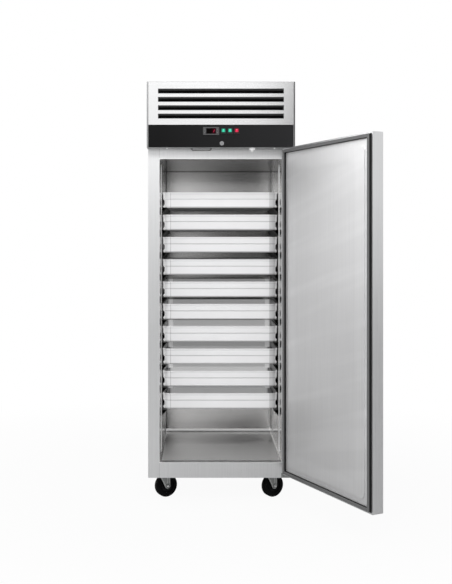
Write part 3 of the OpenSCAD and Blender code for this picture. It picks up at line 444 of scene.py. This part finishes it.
def door_steel():
    """Inner panel of the door: pressed border, slanted wiping marks and painted shade at its
    foot.
    """
    s = steel("steel_door_panel", (0.84, 0.84, 0.845), 0.46, "z", cloud=0.015, lines=0.012)
    s.feed("Metallic", 0.7)
    low, high = corners(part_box("door_liner"))
    x, _, z = s.axes((PIVOT[0], PIVOT[1], 0), DOOR_OPEN)

    border_x = 236 * MM
    border_z = (high.z - low.z) / 2 - 105 * MM
    wide = s.abs(s.math("ADD", x, PIVOT[0]))
    tall = s.abs(s.math("SUBTRACT", z, (low.z + high.z) / 2))
    past = s.math("MAXIMUM", s.math("SUBTRACT", wide, border_x),
                  s.math("SUBTRACT", tall, border_z))
    border = s.spread(past, -10 * MM, 10 * MM, 0, 1)
    s.shade(border, 1.03)
    s.bump(border, 0.5 * MM)

    slant, across, along = 0.28, 11.0, 0.8
    slope = s.math("ADD", z, s.math("MULTIPLY", x, slant))
    wiped = s.node("ShaderNodeCombineXYZ", {"X": s.math("MULTIPLY", slope, across),
                                            "Y": s.math("MULTIPLY", x, along)})
    streaks = s.node("ShaderNodeTexNoise", {"Vector": wiped.outputs["Vector"]}, Scale=1.0,
                     Detail=2.0, Roughness=0.4).outputs["Fac"]
    s.tone(s.spread(streaks, 0.5, 0.64, 1, 1.045))
    # Painted shade: darker towards the foot
    s.tone(s.spread(z, low.z, low.z + 400 * MM, 0.84, 1))
    return s


def tyre(name, node):
    """Black wheel with a moulded ring between tread and hub."""
    s = plastic(name, (0.006, 0.006, 0.0065), 0.6, Specular_IOR_Level=0.06)
    low, high = corners(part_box(node))
    x, _, z = s.axes((low + high) / 2, CASTOR_TURN)
    flat = s.node("ShaderNodeCombineXYZ", {"X": x, "Z": z})
    r = s.node("ShaderNodeVectorMath", {"Vector": flat.outputs["Vector"]},
               operation="LENGTH").outputs["Value"]
    ring = s.both(s.spread(r, 30 * MM, 31 * MM, 0, 1), s.spread(r, 33 * MM, 34 * MM, 1, 0))
    s.bump(ring, -0.8 * MM)
    s.tone(s.spread(r, 27 * MM, 31 * MM, 1.8, 1))
    return s


def lens(node, color, light):
    """Lit lens of a rocker switch, brightest above its middle, dark at the foot."""
    s = plastic("lens_" + node, color, 0.2, Specular_IOR_Level=0.3)
    low, high = corners(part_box(node))
    x, _, z = s.axes(((low.x + high.x) / 2, 0, (low.z + high.z) / 2))
    side = s.spread(s.abs(x), 2 * MM, 9 * MM, 1, 0)
    up = s.both(s.spread(z, -5 * MM, -1 * MM, 0, 1), s.spread(z, 5 * MM, 12 * MM, 1, 0.35))
    s.tone(s.spread(z, -6 * MM, -3.5 * MM, 0.05, 1))
    s.glow(s.math("MULTIPLY", s.both(side, up), 0.75), light)
    return s


def window_glass():
    """Smoked window, with a painted red glow of the display over its right digit."""
    s = plastic("window", (0.002, 0.001, 0.001), 0.2, Specular_IOR_Level=0.03)
    low, high = corners(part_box("thermostat_window"))
    width = high.x - low.x
    x, _, _ = s.axes()
    # Painted glow: red light of the display over the right part
    right = s.spread(x, low.x + 0.5 * width, low.x + 0.7 * width, 0, 1)
    s.paint(right, (0.02, 0.0006, 0.003))
    return s


def gasket_rubber():
    """Grey gasket with black, folded sides: partly their dark rubber, partly painted shade.
    """
    s = plastic("gasket", (0.15, 0.15, 0.152), 0.55, Specular_IOR_Level=0.3)
    _, y, _ = s.axes((PIVOT[0], PIVOT[1], 0), DOOR_OPEN)
    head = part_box("front_frame")[0][1] - DOOR_GAP + GASKET_HEAD - PIVOT[1]
    # Black sides: the bellows' dark rubber and painted shade
    s.tone(s.spread(y, head, head + 1 * MM, 0.12, 1))
    return s


def nylon():
    """White nylon with a painted glow, for light it lets through."""
    s = plastic("white_plastic", (0.92, 0.92, 0.91), 0.4)
    # Painted glow
    s.glow(0.4)
    return s


def digit_glow():
    """Dark red digit, faintly lit."""
    s = plastic("digit_glow", (0.25, 0.01, 0.03), 0.5, Specular_IOR_Level=0.1)
    s.glow(0.35, (0.75, 0.03, 0.09))
    return s


MATS = {s.name: s for s in [
    steel("steel_body", (0.7, 0.705, 0.71), 0.33, "z"),
    steel("steel_roof", (0.36, 0.363, 0.366), 0.6, "z"),
    casing_steel(),
    frame_steel(),
    fascia_steel(),
    steel("steel_door_skin", (0.74, 0.745, 0.75), 0.33, "z"),
    liner_steel(),
    rack_steel(),
    door_steel(),
    steel("zinc", (0.36, 0.37, 0.365), 0.42, "z"),
    black_sheet(),
    lamp_steel(),
    plastic("foam", (0.72, 0.62, 0.36), 0.9),
    plastic("dark_plastic", (0.02, 0.02, 0.021), 0.5, Specular_IOR_Level=0.3),
    nylon(),
    plastic("runner", (0.02, 0.02, 0.019), 0.5, Specular_IOR_Level=0.25),
    plastic("bezel", (0.07, 0.07, 0.072), 0.35, Specular_IOR_Level=0.4),
    window_glass(),
    plastic("key", (0.05, 0.05, 0.052), 0.4, Specular_IOR_Level=0.3),
    plastic("switch_frame", (0.008, 0.008, 0.008), 0.25, Specular_IOR_Level=0.4),
    lens("light_rocker", (0.01, 0.2, 0.13), (0.06, 0.85, 0.5)),
    lens("fan_rocker", (0.01, 0.2, 0.14), (0.08, 0.85, 0.55)),
    lens("power_rocker", (0.3, 0.01, 0.03), (0.95, 0.03, 0.1)),
    plastic("mark", (0.8, 0.8, 0.78), 0.5),
    plastic("key_mark", (0.3, 0.3, 0.3), 0.5),
    plastic("lamp_lens", (0.8, 0.8, 0.79), 0.4),
    digit_glow(),
    steel("chrome", (0.34, 0.34, 0.35), 0.22, "y"),
    gasket_rubber(),
    # Lighter copy of the zinc: painted highlight on the forks' folds and ribs
    steel("painted_highlight_zinc", (0.62, 0.63, 0.62), 0.35, "z"),
    steel("bright", (0.9, 0.9, 0.9), 0.2, "x"),
    plastic("compressor", (0.012, 0.012, 0.013), 0.35),
    steel("fins", (0.3, 0.3, 0.31), 0.45, "x"),
    steel("copper", (0.72, 0.36, 0.2), 0.3, "x"),
] + [tyre(f"tyre_{i}", wheel) for i, wheel in enumerate(WHEELS, 1)]
    + [box_plastic(box) for box in BOXES]}

# Nodes of the CAD model that each material covers
USES = {
    "steel_body": ["outer_shell"],
    "steel_roof": ["roof_panel"],
    "steel_casing": ["top_casing"],
    "steel_lamp": ["lamp_housing"],
    "steel_frame": ["front_frame"],
    "steel_door_skin": ["door_skin"],
    "steel_fascia": ["louvre_panel"],
    "steel_liner": ["interior_liner"],
    "steel_rack": ["rack_uprights"],
    "steel_door_panel": ["door_liner"],
    "zinc": ["base_pan", "hinge_brackets", "castor_plates", "fan_shroud"] + FORKS,
    "black_panel": ["control_panel"],
    "foam": ["body_insulation", "door_foam"],
    "dark_plastic": ["thermal_break", "door_grip", "condenser_fan", "cable_gland"],
    "white_plastic": ["door_switch", "panel_screws", "hinge_bushes"],
    "runner": ["tray_runners"],
    "bezel": ["thermostat_case"],
    "window": ["thermostat_window"],
    "key": KEYS,
    "switch_frame": ["switch_housings"],
    "chrome": ["lock_barrel", "lock_core"],
    "gasket": ["door_gasket"],
    "compressor": ["compressor"],
    "fins": ["condenser"],
    "copper": ["evaporator_coil", "refrigerant_pipes"],
}
USES.update({f"tyre_{i}": [wheel] for i, wheel in enumerate(WHEELS, 1)})
USES.update({"lens_" + rocker: [rocker] for rocker in ROCKERS})
USES.update({"plastic_" + box: [box] for box in BOXES})
for mat_name, names in USES.items():
    for node_name in names:
        slots = NODES[node_name].data.materials
        slots.clear()
        slots.append(MATS[mat_name].mat)


# Small pieces that the CAD model leaves to this script

def piece(name, body, material, mesh_maker, place=None):
    """A new piece from a function that fills a bmesh, riding on a body."""
    bm = bmesh.new()
    mesh_maker(bm)
    bmesh.ops.recalc_face_normals(bm, faces=bm.faces)
    mesh = bpy.data.meshes.new(name)
    bm.to_mesh(mesh)
    bm.free()
    if place:
        mesh.transform(place)
    mesh.materials.append(MATS[material].mat)
    obj = bpy.data.objects.new(name, mesh)
    bpy.context.scene.collection.objects.link(obj)
    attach(obj, body)
    return obj


def prism(bm, outline, y0, y1):
    """A plate from an outline in X and Z, between two depths."""
    near = [bm.verts.new((x, y0, z)) for x, z in outline]
    far = [bm.verts.new((x, y1, z)) for x, z in outline]
    bm.faces.new(near)
    bm.faces.new(far[::-1])
    for i in range(len(outline)):
        j = (i + 1) % len(outline)
        bm.faces.new((near[j], near[i], far[i], far[j]))


def lathe(bm, profile):
    """A turned solid about Z from (radius, height) points, closed on its axis."""
    verts = [bm.verts.new((r, 0, h)) for r, h in profile]
    edges = [bm.edges.new(pair) for pair in zip(verts, verts[1:])]
    bmesh.ops.spin(bm, geom=verts + edges, cent=(0, 0, 0), axis=(0, 0, 1),
                   angle=2 * math.pi, steps=24)
    bmesh.ops.remove_doubles(bm, verts=bm.verts, dist=1e-6)


def turned(direction, place):
    """Matrix that sets Z along a direction and moves to a place."""
    return (Matrix.Translation(place)
            @ Vector(direction).to_track_quat("Z", "Y").to_matrix().to_4x4())


def screw(name, body, place, direction, radius=4 * MM, material="zinc"):
    """Domed screw head with a round socket."""
    shares = [(0, 0), (1, 0), (1, 0.15), (0.86, 0.42), (0.55, 0.6), (0.34, 0.62),
              (0.32, 0.3), (0, 0.3)]
    profile = [(a * radius, b * radius) for a, b in shares]
    piece(name, body, material, lambda bm: lathe(bm, profile), turned(direction, place))


def display_digit():
    """The right-hand digit of the display: a slanted one of two bars."""
    low, high = corners(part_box("thermostat_window"))
    foot_x = low.x + 0.72 * (high.x - low.x)
    foot_z = low.z + 0.26 * (high.z - low.z)
    bar_w = 2.4 * MM
    bar_h = 6.4 * MM
    gap = 0.8 * MM
    point = 0.2 * bar_w
    lean = math.tan(math.radians(20))

    def make(bm):
        for z0 in (0, bar_h + gap):
            z1 = z0 + bar_h
            waist = z0 + bar_h / 2
            bar = [(0, z0), (bar_w, z0), (bar_w + point, waist), (bar_w, z1), (0, z1),
                   (-point, waist)]
            prism(bm, [(foot_x + x + z * lean, foot_z + z) for x, z in bar],
                  low.y - 0.15 * MM, low.y + 0.2 * MM)
    piece("display_digit", "cabinet", "digit_glow", make)


def key_marks():
    """An arrow on each button of the thermostat, up and down in turn."""
    half = 2.2 * MM
    for i, key in enumerate(KEYS):
        low, high = corners(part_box(key))
        x = (low.x + high.x) / 2
        z = (low.z + high.z) / 2
        tip = half if i % 2 == 0 else -half
        outline = [(x - half, z - tip * 0.7), (x + half, z - tip * 0.7), (x, z + tip)]
        piece("mark_" + key, key, "key_mark",
              lambda bm: prism(bm, outline, low.y - 0.1 * MM, low.y + 0.3 * MM))


def rocker_marks():
    """A bar on the upper half of each rocker."""
    half_w, foot, head = 0.5 * MM, 5 * MM, 9 * MM
    for rocker in ROCKERS:
        low, high = corners(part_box(rocker))
        x = (low.x + high.x) / 2
        z = (low.z + high.z) / 2
        outline = [(x - half_w, z + foot), (x + half_w, z + foot), (x + half_w, z + head),
                   (x - half_w, z + head)]
        piece("bar_" + rocker, rocker, "mark",
              lambda bm: prism(bm, outline, low.y - 0.3 * MM, low.y + 2.5 * MM))


def lamp_lens():
    """Diffuser in the slot under the lamp housing."""
    low, high = corners(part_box("lamp_housing"))
    x0 = low.x + 14 * MM
    x1 = high.x - 14 * MM
    edge = low.z + 0.4 * MM
    top = low.z + 2.4 * MM
    outline = [(x0, edge), (x0 + 2 * MM, low.z), (x1 - 2 * MM, low.z), (x1, edge), (x1, top),
               (x0, top)]
    piece("lamp_lens", "cabinet", "lamp_lens",
          lambda bm: prism(bm, outline, high.y - 4.8 * MM, high.y - 2.2 * MM))


def door_gasket_strip():
    """Magnetic gasket: foot, folded bellows and a flat head, mitred round the door."""
    low, high = corners(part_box("door_skin"))
    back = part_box("front_frame")[0][1] - DOOR_GAP
    half_h = (high.z - low.z) / 2
    middle = (high.z + low.z) / 2
    # Inset from the door's edge and depth from its inner face, in mm
    profile = [(7, 0), (25, 0), (25, 2.5), (21, 3), (22.5, 6), (21, 9), (23, 9.4),
               (23.6, 10.4), (23, 12), (22, 12.4), (10.6, 12.4), (9.9, 12), (9.4, 10.4),
               (9.9, 9.4), (11, 9), (9.5, 6), (11, 3), (7, 2.5)]

    def make(bm):
        rings = []
        for inset, depth in profile:
            x = DOOR_W / 2 - inset * MM
            z = half_h - inset * MM
            rings.append([bm.verts.new((sx * x, back + depth * MM, middle + sz * z))
                          for sx, sz in ((-1, -1), (1, -1), (1, 1), (-1, 1))])
        for a, b in zip(rings, rings[1:] + rings[:1]):
            for i in range(4):
                j = (i + 1) % 4
                bm.faces.new((a[i], a[j], b[j], b[i]))
    strip = piece("door_gasket_strip", "door", "gasket", make, DOOR_TURN)
    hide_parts("door_gasket")


def fork_details():
    """Folded front edge, two pressed ribs and the axle's end on each fork's cheek."""
    # Along the fork from its kingpin, across it, and up from the floor
    root = -26 * MM
    cheek_y = 21.5 * MM
    crown_z = 118 * MM
    for fork in FORKS:
        king = Vector(KINGPINS[fork])
        axle = Vector(AXLES[fork])
        trail = axle - king
        reach = trail.xy.length
        tip = reach - 12.6 * MM
        turn = math.atan2(trail.y, trail.x)
        place = Matrix.Translation((king.x, king.y, 0)) @ Matrix.Rotation(turn, 4, "Z")
        # Fold and ribs in the lighter zinc, as painted highlight
        fold = [(root, crown_z), (root + 5 * MM, crown_z), (tip + 5 * MM, axle.z - 2 * MM),
                (tip, axle.z - 6 * MM)]
        for side, name in ((-1, "near"), (1, "far")):
            y0, y1 = sorted((side * (cheek_y - 0.5 * MM), side * (cheek_y + 2 * MM)))
            piece(f"fold_{fork}_{name}", fork, "painted_highlight_zinc",
                  lambda bm: prism(bm, fold, y0, y1), place)
            for k, x in enumerate((reach - 3 * MM, reach + 7 * MM)):
                foot = axle.z + 15 * MM
                rib = [(x, foot), (x + 3 * MM, foot), (x + 3 * MM, crown_z),
                       (x - 2 * MM, crown_z)]
                piece(f"rib_{fork}_{name}_{k + 1}", fork, "painted_highlight_zinc",
                      lambda bm: prism(bm, rib, y0, y1), place)
            end = place @ Vector((reach, side * (cheek_y + 5.8 * MM), axle.z))
            facing = place.to_3x3() @ Vector((0, side, 0))
            screw(f"axle_end_{fork}_{name}", fork, end, facing, 6.5 * MM, "bright")


def castor_bolts():
    """Four bolt heads under each castor plate, at the corners of its bolt pattern."""
    plate_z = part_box("base_pan")[1][2] - 6 * MM
    half_x, half_y = 38 * MM, 31 * MM
    for fork in FORKS:
        for k, (sx, sy) in enumerate(((-1, -1), (1, -1), (1, 1), (-1, 1))):
            x = KINGPINS[fork][0] + sx * half_x
            y = KINGPINS[fork][1] + sy * half_y
            screw(f"bolt_{fork}_{k + 1}", "cabinet", (x, y, plate_z), (0, 0, -1), 6 * MM)


def hinge_screws():
    """Two screws through the foot of the lower hinge bracket."""
    low, _ = corners(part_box("hinge_brackets"))
    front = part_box("front_frame")[0][1]
    for k, x in enumerate((9 * MM, 25 * MM)):
        screw(f"hinge_screw_{k + 1}", "cabinet",
              (low.x + x, front - 5 * MM, low.z + 8 * MM), (0, -1, 0))


def back_screws():
    """Screws that hold the back of the casing."""
    low, high = corners(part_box("top_casing"))
    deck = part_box("outer_shell")[1][2]
    inset = 14 * MM
    for i, x in enumerate((low.x + inset, -0.12, 0.12, high.x - inset)):
        for j, z in enumerate((deck + inset, high.z - 26 * MM)):
            screw(f"back_screw_{i}_{j}", "cabinet", (x, high.y, z), (0, 1, 0), 3.6 * MM)


display_digit()
door_gasket_strip()
fork_details()
key_marks()
rocker_marks()
lamp_lens()
castor_bolts()
hinge_screws()
back_screws()


# Stage

def rectangle(name, width, depth):
    """A flat rectangle about the origin, and the material on it."""
    x, y = width / 2, depth / 2
    mesh = bpy.data.meshes.new(name)
    mesh.from_pydata([(-x, -y, 0), (x, -y, 0), (x, y, 0), (-x, y, 0)], [], [(0, 1, 2, 3)])
    mat = bpy.data.materials.new(name)
    mat.use_nodes = True
    mesh.materials.append(mat)
    obj = bpy.data.objects.new(name, mesh)
    bpy.context.scene.collection.objects.link(obj)
    return obj, mat


def aim(obj, place, target):
    """Sets an object at a place, facing a target."""
    obj.location = place
    obj.rotation_mode = "QUATERNION"
    obj.rotation_quaternion = (Vector(target) - Vector(place)).to_track_quat("-Z", "Y")


def floor(color, near, far, least):
    """Pale floor that turns white for the camera alone.

    The white has a share of least up to near from the middle, and is full from far on.
    """
    obj, mat = rectangle("floor", 60, 60)
    tree = mat.node_tree
    tree.nodes.clear()
    place = add_node(tree, "ShaderNodeTexCoord").outputs["Object"]
    away = add_node(tree, "ShaderNodeVectorMath", {0: place}, operation="LENGTH")
    fade = add_node(tree, "ShaderNodeMapRange", {"Value": away.outputs["Value"]},
                    **{"From Min": near, "From Max": far, "To Min": least, "To Max": 1})
    seen = add_node(tree, "ShaderNodeLightPath").outputs["Is Camera Ray"]
    share = add_node(tree, "ShaderNodeMath", {0: seen, 1: fade.outputs["Result"]},
                     operation="MULTIPLY")
    diffuse = add_node(tree, "ShaderNodeBsdfDiffuse", Color=(color, color, color, 1))
    white = add_node(tree, "ShaderNodeEmission")
    mix = add_node(tree, "ShaderNodeMixShader",
                   {0: share.outputs[0], 1: diffuse.outputs[0], 2: white.outputs[0]})
    add_node(tree, "ShaderNodeOutputMaterial", {0: mix.outputs[0]})


def world(level):
    """Even light of that level; white to the camera and in reflections."""
    studio = bpy.data.worlds.new("studio")
    studio.use_nodes = True
    tree = studio.node_tree
    tree.nodes.clear()
    path = add_node(tree, "ShaderNodeLightPath")
    either = path.outputs["Is Camera Ray"]
    for key in ("Is Glossy Ray", "Is Transmission Ray"):
        either = add_node(tree, "ShaderNodeMath", {0: either, 1: path.outputs[key]},
                          operation="MAXIMUM").outputs[0]
    plain = add_node(tree, "ShaderNodeBackground", Color=(1, 1, 1, 1), Strength=level)
    white = add_node(tree, "ShaderNodeBackground", Color=(1, 1, 1, 1))
    mix = add_node(tree, "ShaderNodeMixShader",
                   {0: either, 1: plain.outputs[0], 2: white.outputs[0]})
    add_node(tree, "ShaderNodeOutputWorld", {0: mix.outputs[0]})
    bpy.context.scene.world = studio


def lamp(name, place, target, size, watts):
    """Soft rectangular lamp."""
    data = bpy.data.lights.new(name, "AREA")
    data.shape = "RECTANGLE"
    data.size, data.size_y = size
    data.energy = watts
    obj = bpy.data.objects.new(name, data)
    aim(obj, place, target)
    bpy.context.scene.collection.objects.link(obj)


def flag(name, place, target, size):
    """Dark cloth beside the object, out of the camera's sight."""
    obj, mat = rectangle(name, *size)
    color = mat.node_tree.nodes["Principled BSDF"].inputs["Base Color"]
    color.default_value = (0.02, 0.02, 0.02, 1)
    aim(obj, place, target)
    obj.visible_camera = False


def camera(place, lens_mm, shift_x, shift_y):
    """Level camera that looks along +Y."""
    data = bpy.data.cameras.new("camera")
    data.lens = lens_mm
    data.shift_x = shift_x
    data.shift_y = shift_y
    obj = bpy.data.objects.new("camera", data)
    obj.location = place
    obj.rotation_euler = (math.radians(90), 0, 0)
    bpy.context.scene.collection.objects.link(obj)
    bpy.context.scene.camera = obj


floor(0.4, near=0.9, far=2.6, least=0.95)
world(0.9)
lamp("high", place=(0.2, -3.9, 4.3), target=(0, -0.3, 1.0), size=(2.4, 1.4), watts=118)
lamp("door_light", place=(-2.8, 0.9, 3.4), target=(0.5, -0.8, 1.7), size=(2.6, 1.8),
     watts=52)
flag("flag_right", place=(2.4, -0.2, 1.9), target=(0.3, -0.4, 1.9), size=(1.8, 2.6))
flag("flag_front", place=(1.25, -5.4, 1.1), target=(0.25, -0.4, 1.1), size=(2.7, 2.0))
flag("flag_low", place=(-2.1, 0.6, 0.5), target=(0.5, -0.8, 0.6), size=(2.6, 1.0))
flag("flag_high", place=(1.95, -5.4, 2.9), target=(0.3, -0.4, 1.8), size=(2.4, 1.2))
camera(place=(-0.0728, -4.642, 1.264), lens_mm=52.83, shift_x=0.0342, shift_y=-0.0771)
bpy.context.scene.view_settings.view_transform = "Standard"
